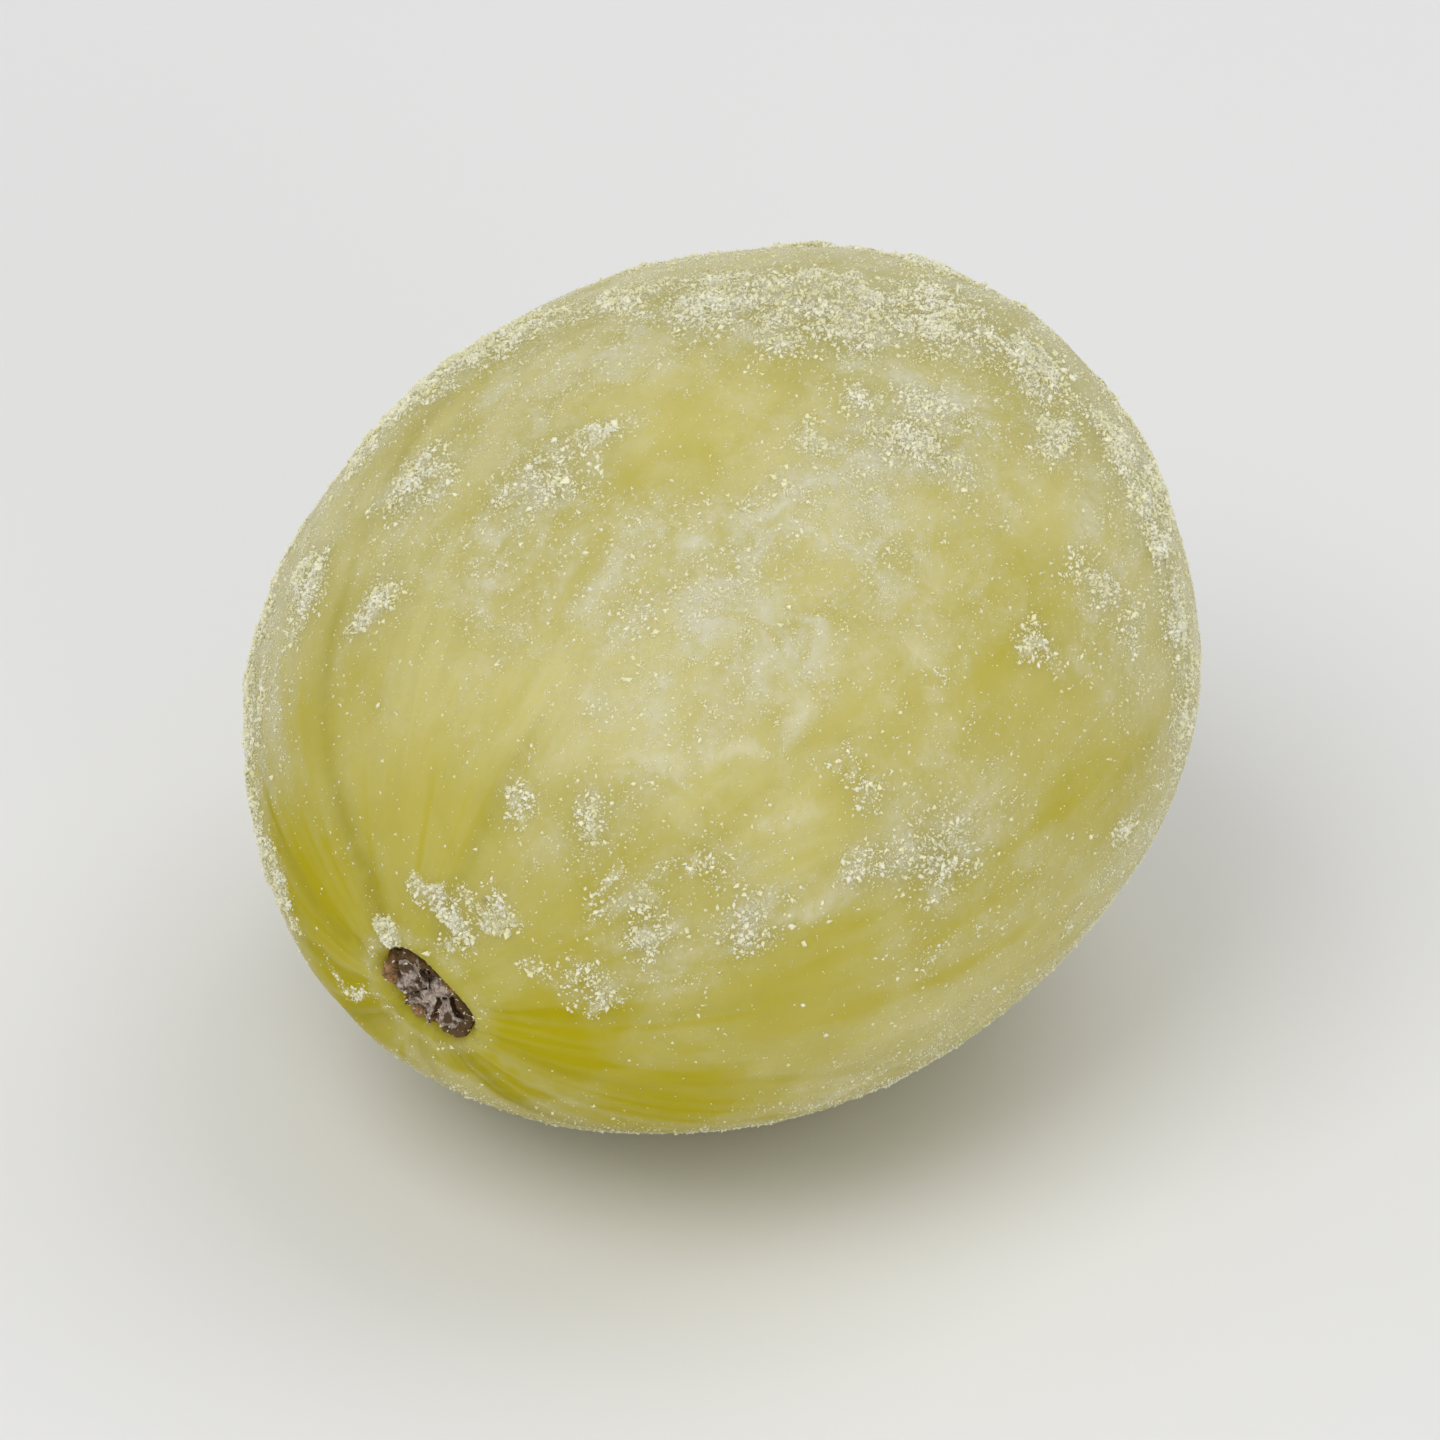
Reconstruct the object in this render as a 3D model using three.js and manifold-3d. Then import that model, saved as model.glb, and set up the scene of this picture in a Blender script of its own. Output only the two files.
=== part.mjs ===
// A gooseberry lying on its side: the plump fruit, the dried flower remnant (calyx) at its tip and
// the dried stub of the stalk at its other end. Millimetres, +Z up. It stands on the plane z = 0,
// and the origin is at the middle of the bottom of its box.
// In its own frame the fruit's core line is the Y axis, with the calyx end at +Y, the wide way
// across along X and the narrow way across along Z. A group turns that frame into the lying pose.
import * as THREE from "three";
import { mergeVertices } from "three/addons/utils/BufferGeometryUtils.js";
import Module from "manifold-3d";

// The fruit's three diameters: from calyx to stalk, and across it both ways.
const FRUIT_LENGTH = 21.8;
const FRUIT_WIDTH = 19.6;
const FRUIT_DEPTH = 17.2;

// How much slimmer the fruit is towards the calyx, and fuller towards the stalk, as a share.
const TAPER = 0.02;

// Shallow ribs along the veins, highest halfway between the two ends.
const RIBS = 10;
const RIB_HEIGHT = 0.04;

// Broad soft swellings that keep the fruit from being a true ellipsoid. Each has the angle of its
// middle from the calyx, its angle around the core line (from +Z towards +X) and its height.
const SWELLINGS = [
  { fromCalyx: 66, around: 62, height: 0.25 },
  { fromCalyx: 143, around: -22, height: 0.25 },
  { fromCalyx: 114, around: -118, height: 0.2 },
  { fromCalyx: 35, around: 131, height: 0.15 },
];
const SWELLING_SPREAD = 24;

// The hollows that hold the calyx and the stalk: a level floor, then a slope up to the skin.
const CALYX_HOLLOW = { floorRadius: 1.35, rimRadius: 2.3, depth: 0.5 };
const STALK_HOLLOW = { floorRadius: 0.85, rimRadius: 1.9, depth: 0.45 };

// How much is taken off the lowest side for the flat spot that the fruit rests on.
const REST_DEPTH = 0.3;

// The calyx: a low cup whose torn rim rises in five lobes around a sunken floor.
const CALYX_UNDER_RADIUS = 1.05;
const CALYX_RADIUS = 1.25;
const CALYX_SHOULDER_RADIUS = 1.2;
const CALYX_CREST_RADIUS = 1.1;
const CALYX_MOUTH_RADIUS = 0.9;
const CALYX_FLOOR_RADIUS = 0.75;
const CALYX_FLANK_HEIGHT = 0.15;
const CALYX_FLOOR_HEIGHT = 0.2;
const CALYX_SHOULDER_HEIGHT = 0.43;
const CALYX_HEIGHT = 0.5;
const CALYX_LOBES = 5;
const LOBE_HEIGHT = 0.1;
const LOBE_REACH = 0.08;

// The stalk stub: a dried peg on a wider foot, with a hollowed tip, leaning a little to one side.
const STALK_FOOT_RADIUS = 0.75;
const STALK_ANKLE_RADIUS = 0.68;
const STALK_RADIUS = 0.45;
const STALK_TIP_RADIUS = 0.32;
const STALK_ANKLE_HEIGHT = 0.12;
const STALK_FOOT_HEIGHT = 0.25;
const STALK_SHOULDER_HEIGHT = 0.81;
const STALK_LENGTH = 0.9;
const STALK_LEAN = 0.15;

// The air left between the fruit and each piece in its hollows.
const GAP = 0.3;

// The lying pose, in degrees: the turn of the calyx from +Y about the vertical, its dip below
// level, and the fruit's roll about its core line.
const TURN = 144.7;
const DIP = 8.7;
const ROLL = 10.7;

// The fineness of the meshes, and how strongly the fruit's rings gather at its two ends.
const MERIDIANS = 64;
const PARALLELS = 42;
const END_GATHER = 0.55;
const CALYX_SIDES = 40;
const STALK_SIDES = 24;

const FRUIT_LOOK = { color: 0xbdb566, roughness: 0.5, metalness: 0 };
const CALYX_LOOK = { color: 0x54402a, roughness: 0.9, metalness: 0 };
const STALK_LOOK = { color: 0x7a6a3a, roughness: 0.85, metalness: 0 };

const { degToRad, smoothstep } = THREE.MathUtils;

const wasm = await Module();
wasm.setup();

// A three.js geometry as a manifold-3d solid.
function toSolid(geometry) {
  const bare = geometry.clone();
  bare.deleteAttribute("normal");
  bare.deleteAttribute("uv");
  const merged = mergeVertices(bare);
  const mesh = new wasm.Mesh({
    numProp: 3,
    vertProperties: merged.attributes.position.array,
    triVerts: new Uint32Array(merged.index.array),
  });
  return new wasm.Manifold(mesh);
}

// A manifold-3d solid as a three.js geometry.
function toGeometry(solid) {
  const { vertProperties, triVerts } = solid.getMesh();
  const geometry = new THREE.BufferGeometry();
  geometry.setAttribute("position", new THREE.BufferAttribute(vertProperties, 3));
  geometry.setIndex(new THREE.BufferAttribute(triVerts, 1));
  return geometry;
}

// Calls move(vertex), which changes its vertex, on every vertex of a geometry.
function reshape(geometry, move) {
  const places = geometry.attributes.position;
  const vertex = new THREE.Vector3();
  for (let index = 0; index < places.count; index += 1) {
    vertex.fromBufferAttribute(places, index);
    move(vertex);
    places.setXYZ(index, vertex.x, vertex.y, vertex.z);
  }
  return geometry;
}

// A closed body of revolution about Y through [radius, height] points.
function turned(profile, sides) {
  const points = profile.map(([radius, height]) => new THREE.Vector2(radius, height));
  return new THREE.LatheGeometry(points, sides);
}

function namedMesh(name, geometry, look) {
  geometry.computeVertexNormals();
  const mesh = new THREE.Mesh(geometry, new THREE.MeshStandardMaterial(look));
  mesh.name = name;
  return mesh;
}

// How far a hollow sinks the skin at a distance from the core line.
function sunk(hollow, distance) {
  return hollow.depth * (1 - smoothstep(distance, hollow.floorRadius, hollow.rimRadius));
}

// How far the swellings lift the skin in a direction from the fruit's middle.
function swelling(direction) {
  const middle = new THREE.Vector3();
  return SWELLINGS.reduce((total, { fromCalyx, around, height }) => {
    middle.setFromSphericalCoords(1, degToRad(fromCalyx), degToRad(around));
    const away = direction.angleTo(middle) / degToRad(SWELLING_SPREAD);
    return total + height * Math.exp(-away * away);
  }, 0);
}

// Moves a vertex of the unit sphere to its place on the fruit's skin.
function ontoSkin(vertex) {
  const { phi, theta } = new THREE.Spherical().setFromVector3(vertex);
  const fromCalyx = phi - (END_GATHER / 2) * Math.sin(2 * phi);
  vertex.setFromSphericalCoords(1, fromCalyx, theta);
  const rib = RIB_HEIGHT * Math.sin(fromCalyx) ** 2 * Math.cos(RIBS * theta);
  const lifted = 1 + (rib + swelling(vertex)) / (FRUIT_WIDTH / 2);
  const girth = lifted * (1 - TAPER * vertex.y);
  vertex.x *= (FRUIT_WIDTH / 2) * girth;
  vertex.y *= (FRUIT_LENGTH / 2) * lifted;
  vertex.z *= (FRUIT_DEPTH / 2) * girth;
  const hollow = vertex.y > 0 ? CALYX_HOLLOW : STALK_HOLLOW;
  vertex.y -= Math.sign(vertex.y) * sunk(hollow, Math.hypot(vertex.x, vertex.z));
}

// The fruit's skin, with a flat spot that is level in the lying pose.
function fruitGeometry(pose) {
  const skin = reshape(new THREE.SphereGeometry(1, MERIDIANS, PARALLELS), ontoSkin);
  const lyingSkin = skin.clone().applyMatrix4(pose);
  lyingSkin.computeBoundingBox();
  const cutterSize = 2 * FRUIT_LENGTH;
  const cutter = new THREE.BoxGeometry(cutterSize, cutterSize, cutterSize);
  cutter.translate(0, 0, lyingSkin.boundingBox.min.z + REST_DEPTH - cutterSize / 2);
  cutter.applyMatrix4(pose.clone().invert());
  return toGeometry(toSolid(skin).subtract(toSolid(cutter)));
}

// The calyx, with its underside at y = 0.
function calyxGeometry() {
  const profile = [
    [0, 0],
    [CALYX_UNDER_RADIUS, 0],
    [CALYX_RADIUS, CALYX_FLANK_HEIGHT],
    [CALYX_SHOULDER_RADIUS, CALYX_SHOULDER_HEIGHT],
    [CALYX_CREST_RADIUS, CALYX_HEIGHT],
    [CALYX_MOUTH_RADIUS, CALYX_SHOULDER_HEIGHT],
    [CALYX_FLOOR_RADIUS, CALYX_FLOOR_HEIGHT],
    [0, CALYX_FLOOR_HEIGHT],
  ];
  return reshape(turned(profile, CALYX_SIDES), (vertex) => {
    const lobe = Math.cos(CALYX_LOBES * Math.atan2(vertex.x, vertex.z));
    const onRim = smoothstep(vertex.y, CALYX_FLOOR_HEIGHT, CALYX_HEIGHT);
    const outward = new THREE.Vector3(vertex.x, 0, vertex.z).normalize();
    vertex.addScaledVector(outward, LOBE_REACH * lobe * onRim);
    vertex.y += LOBE_HEIGHT * lobe * onRim;
  });
}

// The stalk stub, standing on y = 0.
function stalkGeometry() {
  const profile = [
    [0, 0],
    [STALK_FOOT_RADIUS, 0],
    [STALK_ANKLE_RADIUS, STALK_ANKLE_HEIGHT],
    [STALK_RADIUS, STALK_FOOT_HEIGHT],
    [STALK_RADIUS, STALK_SHOULDER_HEIGHT],
    [STALK_TIP_RADIUS, STALK_LENGTH],
    [0, STALK_SHOULDER_HEIGHT],
  ];
  return reshape(turned(profile, STALK_SIDES), (vertex) => {
    vertex.x += STALK_LEAN * (vertex.y / STALK_LENGTH) ** 2;
  });
}

const lying = new THREE.Group();
lying.rotation.set(degToRad(-DIP), degToRad(ROLL), degToRad(TURN), "ZXY");
lying.updateMatrix();

const berry = namedMesh("berry", fruitGeometry(lying.matrix), FRUIT_LOOK);

const calyx = namedMesh("calyx", calyxGeometry(), CALYX_LOOK);
calyx.position.y = FRUIT_LENGTH / 2 - CALYX_HOLLOW.depth + GAP;

const stalk = namedMesh("stalk_stub", stalkGeometry(), STALK_LOOK);
stalk.rotation.x = Math.PI;
stalk.position.y = -(FRUIT_LENGTH / 2 - STALK_HOLLOW.depth + GAP);

lying.add(berry, calyx, stalk);

const gooseberry = new THREE.Group();
gooseberry.add(lying);

// Brings the middle of the bottom of the whole fruit's box to the origin.
const box = new THREE.Box3().setFromObject(gooseberry, true);
const middle = box.getCenter(new THREE.Vector3());
lying.position.set(-middle.x, -middle.y, -box.min.z);

export default gooseberry;
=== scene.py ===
import math
from collections import namedtuple

import bpy
import numpy as np
from mathutils import Matrix, Vector, kdtree, noise


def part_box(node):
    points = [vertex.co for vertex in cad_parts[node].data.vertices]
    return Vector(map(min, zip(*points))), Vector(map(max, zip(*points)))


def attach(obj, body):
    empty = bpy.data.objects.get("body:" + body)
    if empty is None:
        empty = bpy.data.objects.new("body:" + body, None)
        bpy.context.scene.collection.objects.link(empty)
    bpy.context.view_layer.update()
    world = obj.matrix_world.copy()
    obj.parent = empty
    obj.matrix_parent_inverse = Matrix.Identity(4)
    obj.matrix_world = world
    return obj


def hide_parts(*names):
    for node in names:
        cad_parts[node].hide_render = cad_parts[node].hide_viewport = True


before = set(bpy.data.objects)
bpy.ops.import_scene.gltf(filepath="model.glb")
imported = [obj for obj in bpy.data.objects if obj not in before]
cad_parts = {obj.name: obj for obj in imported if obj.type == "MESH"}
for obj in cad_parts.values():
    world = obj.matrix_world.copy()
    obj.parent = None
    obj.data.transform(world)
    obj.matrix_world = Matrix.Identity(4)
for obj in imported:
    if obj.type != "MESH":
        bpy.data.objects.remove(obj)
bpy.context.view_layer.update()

MM = 0.001
SEED = 20
# Vector noise draws its shifts from a seed of its own, which is otherwise the time of day.
noise.seed_set(SEED)

# The fruit, as in the construction: three diameters, taper, ribs and swellings.
FRUIT_LENGTH = 21.8
FRUIT_WIDTH = 19.6
FRUIT_DEPTH = 17.2
TAPER = 0.02
RIBS = 10
RIB_HEIGHT = 0.04
# Angle from the calyx, angle around the core line, height.
SWELLINGS = [(66, 62, 0.25), (143, -22, 0.25), (114, -118, 0.2), (35, 131, 0.15)]
SWELLING_SPREAD = 24
# Floor radius, rim radius and depth of the wells that hold the calyx and the stalk.
CALYX_WELL = (0.95, 1.5, 0.5)
STALK_WELL = (0.45, 1.9, 0.4)
# The lips of skin round the calyx and the stalk: radius, breadth and height.
CALYX_LIP = (1.36, 0.22, 0.08)
STALK_LIP = (0.86, 0.2, 0.1)
# The calyx and its well are narrower one way: the share of their reach that they keep there, and
# that way's angle around the core line.
CALYX_OVAL = 0.7
CALYX_NARROW_WAY = -46

# The lying pose: the calyx's turn from +Y, its dip below level, and the roll about the core line.
TURN = 144.7
DIP = 8.7
ROLL = 10.7

# The photograph's viewing angle, as the camera's elevation. Its azimuth is 0.
VIEW_ELEVATION = 35

# The skin's mesh: meridians, parallels, and how strongly the parallels gather at the two ends.
MERIDIANS = 384
PARALLELS = 256
END_GATHER = 0.45
# How much the search for a seen spot favours points nearer the camera.
NEARNESS = 0.08

# The skin's fine relief: the height of the frost's crust, of broad and of small dents, of creases
# and of fibres, and the depth of veins.
CRUST_HEIGHT = 0.1
BROAD_DENTS = 0.025
SMALL_DENTS = 0.009
CREASE_HEIGHT = 0.03
FIBRE_HEIGHT = 0.02
VEIN_DEPTH = 0.012

# Each patch: right and up of the fruit's middle as the camera sees it, radius, strength.
FROST_PATCHES = [
    (-7.6, 5.7, 0.9, 0.6),
    (-6.3, 6.7, 1.4, 0.9),
    (-4.3, 7.7, 1.1, 0.8),
    (-2.0, 8.4, 1.0, 0.6),
    (0.2, 8.3, 1.3, 0.75),
    (1.2, 7.5, 0.7, 0.7),
    (2.6, 8.2, 1.3, 0.8),
    (4.6, 8.0, 1.3, 0.7),
    (6.6, 6.9, 1.1, 0.75),
    (4.0, 5.3, 1.1, 0.5),
    (4.5, 4.9, 0.6, 0.8),
    (3.0, 6.2, 0.5, 0.8),
    (1.8, 5.2, 0.6, 0.7),
    (1.1, 4.0, 0.5, 0.5),
    (-2.6, 5.1, 0.45, 0.8),
    (-3.9, 4.3, 0.8, 0.5),
    (-6.2, 4.4, 0.9, 0.6),
    (-8.8, 2.1, 0.75, 1.0),
    (-7.1, 1.8, 0.5, 0.9),
    (-9.9, 1.2, 0.6, 0.8),
    (-10.0, -1.0, 0.7, 0.7),
    (-9.4, -4.0, 0.6, 0.8),
    (7.1, 5.4, 0.5, 0.6),
    (8.4, 5.3, 0.9, 0.7),
    (9.2, 3.9, 0.9, 0.9),
    (9.8, 1.4, 0.8, 0.8),
    (7.8, 2.3, 0.6, 0.7),
    (8.8, 1.3, 0.5, 0.6),
    (6.7, 0.9, 0.45, 0.6),
    (4.2, 0.1, 0.35, 0.6),
    (-6.1, -4.1, 0.4, 1.0),
    (-5.7, -4.7, 0.4, 1.0),
    (-4.8, -4.3, 0.4, 0.9),
    (-5.5, -5.3, 0.4, 0.9),
    (-6.7, -5.0, 0.35, 0.7),
    (-0.4, -3.6, 0.3, 0.6),
    (4.7, -5.4, 0.25, 0.6),
    (-4.0, -2.4, 0.45, 0.8),
    (-2.5, -2.6, 0.4, 0.8),
    (-2.1, -4.2, 0.65, 0.8),
    (-1.6, -5.2, 0.45, 0.7),
    (-2.8, -6.2, 0.5, 0.5),
    (-3.8, -5.8, 0.4, 0.5),
    (2.7, -1.8, 0.55, 0.5),
    (3.2, -3.7, 0.45, 0.6),
    (4.4, -3.3, 0.8, 0.5),
    (0.8, -4.6, 0.9, 0.35),
    (8.6, -2.9, 0.5, 0.7),
    (7.4, -4.6, 0.4, 0.6),
    (-1.3, 1.7, 1.5, 0.12),
    (-9.2, 3.3, 0.35, 0.6),
    (-9.6, 2.4, 0.35, 0.5),
    (-10.1, 0.1, 0.5, 0.8),
    (-10.0, -2.2, 0.5, 0.8),
    (-9.7, -3.3, 0.45, 0.7),
    (-9.0, -4.9, 0.4, 0.7),
    (-7.9, -6.2, 0.3, 0.5),
]
# Haze patches. The first two, in the middle of the seen side, are partly frozen film and partly a
# painted highlight, the broad soft glow there.
HAZE_AND_HIGHLIGHT_PATCHES = [
    (-1.5, 1.9, 2.1, 1.0),
    (-1.0, -0.4, 1.7, 0.7),
    (-4.2, 2.6, 2.4, 0.68),
    (0.9, 1.6, 2.4, 0.9),
    (2.6, 3.4, 2.6, 0.85),
    (4.0, 5.4, 2.4, 0.95),
    (-4.0, 6.4, 2.2, 0.75),
    (-1.0, 7.8, 2.4, 0.9),
    (2.5, 8.0, 2.4, 0.8),
    (7.4, 4.4, 2.2, 0.55),
    (8.0, 1.4, 1.6, 0.6),
    (4.4, -2.8, 2.2, 0.6),
    (1.0, -3.6, 2.0, 0.5),
    (-2.0, -4.6, 1.4, 0.6),
    (-6.2, 6.8, 1.6, 0.8),
    (-7.0, 4.6, 1.6, 0.35),
    (-9.8, -1.0, 0.9, 0.5),
    (-5.7, -5.2, 0.7, 0.6),
]
CLEAR_PATCHES = [
    (-1.1, 5.3, 1.4, 0.65),
    (-6.4, 0.6, 1.6, 0.6),
    (-8.4, 1.6, 1.5, 0.8),
    (6.9, 2.9, 1.1, 0.6),
    (2.7, -0.5, 1.1, 0.65),
    (2.0, -2.6, 1.2, 0.5),
    (0.6, -2.2, 1.0, 0.5),
    (4.0, 0.6, 0.9, 0.5),
    (-4.2, -1.2, 1.4, 0.4),
    (-4.2, -5.2, 1.3, 0.5),
    (6.2, -0.4, 1.4, 0.55),
    (1.5, -6.9, 2.4, 0.7),
    (-6.4, -2.6, 2.2, 0.85),
    (-8.2, -1.4, 1.4, 0.7),
    (-7.9, -4.6, 1.8, 1.0),
    (-8.2, -6.6, 1.7, 1.0),
    (-4.6, -4.2, 1.6, 0.7),
    (-4.2, -7.4, 2.0, 1.0),
    (-1.5, -8.3, 2.2, 0.9),
]
# Where the flesh shows through most olive; low on the fruit this olive is also painted shade.
OLIVE_AND_SHADE_PATCHES = [
    (-5.2, -7.8, 0.9, 1.0),
    (-4.4, -8.4, 1.0, 1.0),
    (-3.4, -7.4, 2.0, 1.0),
    (-7.9, -6.4, 2.0, 0.95),
    (-8.9, -4.0, 2.6, 0.95),
    (-6.4, -2.8, 2.6, 0.45),
    (-3.6, -5.6, 2.2, 0.5),
    (-8.0, -0.4, 1.8, 0.45),
    (-1.0, -8.6, 2.8, 0.9),
    (1.6, -6.2, 3.0, 0.55),
    (5.0, -4.8, 2.2, 0.5),
    (7.8, -1.6, 2.4, 0.45),
    (6.2, 1.6, 1.6, 0.3),
    (-0.5, 5.6, 1.6, 0.3),
]
# The side that the camera doesn't see has frost patches of its own: how many, and the smallest and
# largest radius and strength.
FAR_PATCHES = 75
FAR_RADII = (0.25, 1.1)
FAR_STRENGTHS = (0.35, 0.9)

# Creases in the frozen film: points given right and up of the fruit's middle as the camera sees it.
CREASES = [
    [(2.7, 1.0), (2.1, -0.2), (1.0, -1.0), (-0.7, -1.5), (-2.0, -1.3), (-2.6, -2.2)],
    [(-0.4, -4.9), (1.1, -4.7), (2.4, -4.3), (3.0, -3.6)],
    [(3.5, 1.4), (4.4, 0.4), (4.7, -0.8)],
    [(0.3, -3.0), (1.4, -2.6), (2.6, -2.4)],
]

# The calyx ring's section, from the middle of its underside over its crest to its middle: distance
# from the core line, and place along it.
CUP_PROFILE = [
    (0.02, 10.38),
    (0.9, 10.38),
    (1.16, 10.44),
    (1.2, 10.58),
    (1.1, 10.72),
    (1.0, 10.8),
    (0.9, 10.74),
    (0.8, 10.62),
    (0.66, 10.54),
    (0.4, 10.52),
    (0.02, 10.56),
]
# Where the sepals and the threads start along the core line, and how many threads there are.
SEPAL_BASE = 10.68
THREAD_BASE = 10.62
THREADS = 9
# Each dried sepal: place around the calyx, length, half width, sideways drift, rise, curl.
SEPALS = [
    (10, 0.85, 0.32, 0.15, 0.12, 0.45),
    (84, 0.8, 0.3, -0.1, 0.16, -0.4),
    (150, 0.75, 0.34, 0.1, 0.1, 0.6),
    (226, 0.7, 0.3, 0.2, 0.2, 0.3),
    (300, 0.75, 0.33, -0.15, 0.13, -0.5),
]

# The stalk stub's section in the same way, from its hidden foot to the middle of its torn end;
# then its foot's place along the core line, and how far it leans.
STALK_PROFILE = [
    (0.02, -0.4),
    (0.56, -0.36),
    (0.66, -0.2),
    (0.62, -0.04),
    (0.54, 0.1),
    (0.48, 0.28),
    (0.45, 0.5),
    (0.45, 0.72),
    (0.43, 0.84),
    (0.35, 0.9),
    (0.26, 0.82),
    (0.14, 0.72),
    (0.02, 0.7),
]
STALK_FOOT = 10.75
STALK_LEAN = 0.18

# Main veins: angle around the core line, strength.
VEINS = [
    (26, 0.9),
    (-22, 0.45),
    (-58, 0.2),
    (-94, 0.3),
    (-127, 0.4),
    (-166, 0.9),
    (160, 0.6),
    (127, 0.8),
    (94, 0.5),
    (60, 0.75),
]
# How many side veins leave each main vein.
SIDE_VEINS = 7

# Each sort of frost crystal: how many lie on the skin, their shape, their middle radius, how much
# the radii spread, and how much longer they are one way.
Crystals = namedtuple("Crystals", "count kind radius spread lengthen")
CRUST = Crystals(16000, "octahedron", 0.034, 0.35, 1.4)
DUST = Crystals(70000, "tetrahedron", 0.025, 0.35, 1.3)
POWDER = Crystals(45000, "tetrahedron", 0.017, 0.3, 1.2)
GRAINS = Crystals(1000, "octahedron", 0.047, 0.25, 1.2)
# How far the middle of a crystal stands above the skin, as a share of its radius.
CRYSTAL_LIFT = 0.12
# Dust also lies on the ends: how far out along the core line it starts, and how much lies on the
# calyx ring, the sepals and the stalk.
CALYX_DUST_FROM = 10.6
STALK_DUST_FROM = 10.7
RING_DUST = 60
SEPAL_DUST = 90
STALK_DUST = 120

# The camera: focal length, sensor width, distance, and how far below the fruit's middle it aims.
LENS = 273
SENSOR_WIDTH = 36
CAMERA_DISTANCE = 235
AIM_DROP = 0.6

# Half the floor's width, and the strength of the light from all round.
FLOOR_HALF = 400
WORLD_STRENGTH = 0.49
# Each light: name, azimuth, elevation, distance, width and power.
LIGHTS = [
    ("key", -42, 60, 450, 280, 0.69),
    ("back", 125, 62, 500, 350, 0.52),
    ("side", -95, 18, 500, 300, 0.17),
    ("front", 30, 10, 500, 300, 0.6),
]


def colour(red, green, blue):
    return (red, green, blue, 1.0)


# Colours, as linear red, green and blue.
FLESH_DEEP = colour(0.49, 0.432, 0.09)
FLESH_PALE = colour(0.60, 0.54, 0.19)
FLESH_FIBRE = colour(0.46, 0.405, 0.05)
# Deep olive of the flesh near the calyx, also used as painted shade on the fruit's lower side.
FLESH_OLIVE_AND_SHADE = colour(0.455, 0.383, 0.003)
FLESH_GREEN = colour(0.24, 0.27, 0.02)
VEIN_OLIVE = colour(0.36, 0.305, 0.004)
VEIN_GREEN = colour(0.14, 0.18, 0.012)
SKIN_SPECK = colour(0.16, 0.09, 0.02)
FILM = colour(0.67, 0.64, 0.45)
FILM_FOLD = colour(0.78, 0.75, 0.58)
FROST_CRUST = colour(0.73, 0.705, 0.53)
FROST_SPECK = colour(0.66, 0.63, 0.5)
ICE_SHADED = colour(0.84, 0.81, 0.52)
ICE_LIT = colour(0.92, 0.90, 0.68)
RIME_SHADED = colour(0.83, 0.80, 0.48)
RIME_LIT = colour(0.90, 0.88, 0.62)
CUP_BLACK = colour(0.035, 0.018, 0.004)
CUP_BROWN = colour(0.19, 0.105, 0.035)
CUP_RUST = colour(0.40, 0.22, 0.09)
PAPER_DARK = colour(0.19, 0.14, 0.11)
PAPER_PALE = colour(0.58, 0.475, 0.4)
PAPER_STAIN = colour(0.08, 0.045, 0.018)
STALK_DARK_GREEN = colour(0.09, 0.095, 0.012)
STALK_PALE_GREEN = colour(0.34, 0.31, 0.09)
STALK_DARK_BROWN = colour(0.035, 0.02, 0.006)
STALK_PALE_BROWN = colour(0.27, 0.175, 0.075)
FLOOR_SHADE = colour(0.8, 0.8, 0.8)
FLOOR_PALE = colour(0.83, 0.83, 0.83)
WHITE = colour(1.0, 1.0, 1.0)


def smoothstep(value, low, high):
    share = np.clip((value - low) / (high - low), 0, 1)
    return share * share * (3 - 2 * share)


def unit(vectors):
    return vectors / np.linalg.norm(vectors, axis=-1, keepdims=True)


def turn(axis, degrees):
    return np.array(Matrix.Rotation(math.radians(degrees), 3, axis))


def fractal(points, size, octaves=4, offset=0.0):
    """Fractal noise from about -1 to 1 at each point, with features of a size in the points' unit."""
    shift = np.array([offset, 2.3 * offset, -1.7 * offset])
    return np.array([noise.fractal(Vector(p), 1.0, 2.0, octaves) for p in points / size + shift])


def wandered(points, size, reach):
    """Points moved about by smooth vector noise."""
    return points + reach * np.array([noise.noise_vector(Vector(p)) for p in points / size])


# The fruit's own core line, and the lying pose that takes it to the row's frame.
ALONG = np.array([0.0, 1.0, 0.0])
LYING = turn("Z", TURN) @ turn("X", -DIP) @ turn("Y", ROLL)

RIGHT = np.array([1.0, 0.0, 0.0])
UP = np.array([0.0, math.sin(math.radians(VIEW_ELEVATION)), math.cos(math.radians(VIEW_ELEVATION))])
TOWARDS = np.cross(RIGHT, UP)


# The skin's shape


def direction(from_calyx, around):
    """Unit vectors in the fruit's own frame, whose Y axis is the core line, calyx end positive."""
    across = np.sin(from_calyx)
    return np.stack(
        [across * np.sin(around), np.cos(from_calyx), across * np.cos(around)], axis=-1
    )


def narrowing(around):
    """How much of its reach the calyx keeps at angles around the core line."""
    return 1 - (1 - CALYX_OVAL) * np.cos(around - math.radians(CALYX_NARROW_WAY)) ** 2


def well(distance, floor, rim, depth):
    return depth * (1 - smoothstep(distance, floor, rim))


def lip(distance, radius, breadth, height):
    return height * np.exp(-(((distance - radius) / breadth) ** 2))


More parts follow.
